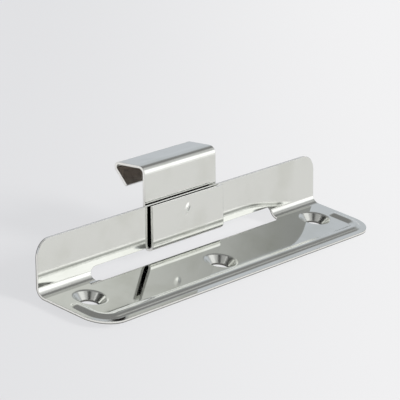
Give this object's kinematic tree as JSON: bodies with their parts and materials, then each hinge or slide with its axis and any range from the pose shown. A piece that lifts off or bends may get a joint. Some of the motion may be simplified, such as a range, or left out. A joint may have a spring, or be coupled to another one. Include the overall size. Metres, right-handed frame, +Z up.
{
  "type": "mirror clip",
  "caption": "Folded sheet-metal mirror clip: an angled bracket with countersunk screw holes and a stiffening bead, and a hook clip that slides along its slot.",
  "frame": {"origin": "midway between the two outer screw holes, in the plane of their lower rims, the lowest plane of the bracket", "axes": "+X along the bracket, +Y behind the wall, towards the side where the hook opens, +Z up, square to the flange"},
  "size_m": [0.1, 0.0329, 0.0222],
  "materials": {
    "bracket_steel": "bright rolled stainless sheet, nearly mirror-like",
    "clip_steel": "bright rolled stainless sheet, nearly mirror-like"
  },
  "bodies": {
    "bracket": {"base_bracket": "bracket_steel"},
    "clip": {"hook_clip": "clip_steel"}
  },
  "joints": [
    {"name": "clip_slide", "type": "slide", "parent": "bracket", "child": "clip", "axis": [1, 0, 0], "range_m": [-0.0185, 0.0185]}
  ]
}
